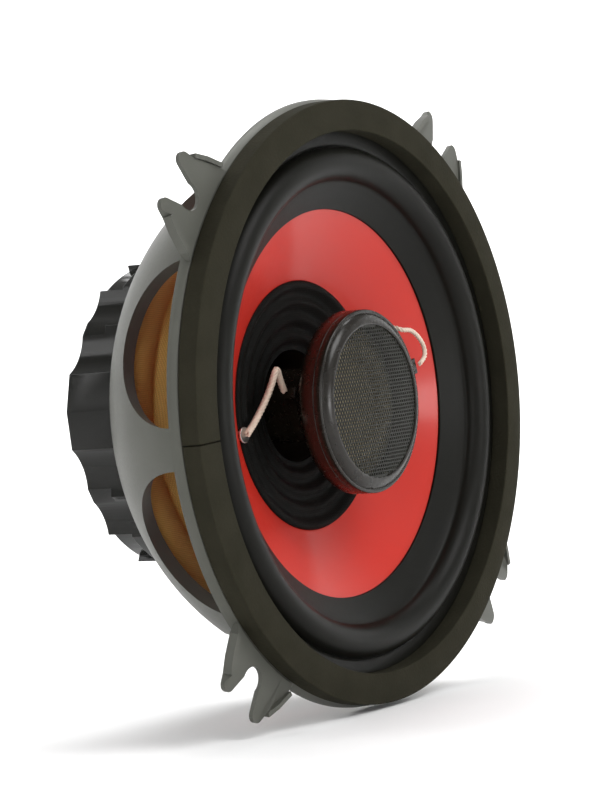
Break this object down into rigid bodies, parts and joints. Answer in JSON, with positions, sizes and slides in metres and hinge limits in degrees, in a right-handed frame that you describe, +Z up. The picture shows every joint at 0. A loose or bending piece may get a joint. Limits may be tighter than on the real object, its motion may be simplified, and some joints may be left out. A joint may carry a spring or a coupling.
{
  "type": "coaxial car speaker",
  "caption": "Round coaxial car speaker: pressed basket with fixing ears, foam gasket, red cone on a rubber surround, and a grilled tweeter on a post in the middle.",
  "frame": {"origin": "centre of the front gasket's sealing face, on the speaker's axis", "axes": "-Y out of the front of the cone, +Y to the magnet, +Z up, +X to the side of the terminal board"},
  "size_m": [0.1312, 0.0552, 0.1312],
  "materials": {
    "basket_paint": "satin grey paint on pressed steel",
    "gasket_foam": "dense dark foam, matt",
    "surround_rubber": "satin black rubber",
    "red_cone": "glossy red film",
    "black_cloth": "doped black cloth",
    "amber_cloth": "resin-stiffened amber cloth",
    "former_film": "amber film",
    "copper_wire": "enamelled copper wire",
    "plated_steel": "zinc plated",
    "ferrite": "ground dark ceramic",
    "gloss_black": "glossy black moulding",
    "matt_black": "satin black moulding",
    "grille_paint": "satin black paint on punched sheet",
    "tinned_metal": "tinned",
    "spade_brass": "bare brass",
    "board_laminate": "brown laminate",
    "tinsel_braid": "braided tinsel wire",
    "cream_braid": "braided cotton over tinsel",
    "dome_film": "thin satin film",
    "capacitor_sleeve": "blue sleeve"
  },
  "bodies": {
    "frame_and_motor": {"basket": "basket_paint", "front_gasket": "gasket_foam", "top_plate": "plated_steel", "magnet": "ferrite", "yoke": "plated_steel", "magnet_cover": "gloss_black", "basket_rivets": "plated_steel", "terminal_board": "board_laminate", "terminal_rivets": "tinned_metal", "positive_spade": "spade_brass", "negative_spade": "tinned_metal", "tweeter_post": "matt_black", "post_screw": "plated_steel", "tweeter_housing": "matt_black", "tweeter_bezel": "matt_black", "tweeter_grille": "grille_paint", "tweeter_tabs": "tinned_metal", "tweeter_yoke": "plated_steel", "tweeter_magnet": "plated_steel", "tweeter_pole_plate": "plated_steel", "crossover_capacitor": "capacitor_sleeve", "capacitor_legs": "tinned_metal"},
    "cone_assembly": {"cone": "red_cone", "centre_ring": "black_cloth", "cone_eyelets": "tinned_metal", "surround": "surround_rubber", "spider": "amber_cloth", "voice_coil_former": "former_film", "voice_coil_winding": "copper_wire", "positive_tinsel_lead": "tinsel_braid", "negative_tinsel_lead": "tinsel_braid", "left_tweeter_lead": "cream_braid", "right_tweeter_lead": "cream_braid"},
    "tweeter_dome_assembly": {"tweeter_diaphragm": "dome_film", "tweeter_coil": "copper_wire"}
  },
  "joints": [
    {"name": "cone_travel", "type": "slide", "parent": "frame_and_motor", "child": "cone_assembly", "axis": [0, -1, 0], "range_m": [-0.003, 0.003], "stiffness_N_per_m": 2000, "deforming": ["surround", "spider", "positive_tinsel_lead", "negative_tinsel_lead", "left_tweeter_lead", "right_tweeter_lead"]},
    {"name": "tweeter_travel", "type": "slide", "parent": "frame_and_motor", "child": "tweeter_dome_assembly", "axis": [0, -1, 0], "range_m": [-0.00025, 0.00025], "stiffness_N_per_m": 3000, "deforming": ["tweeter_diaphragm"]}
  ]
}
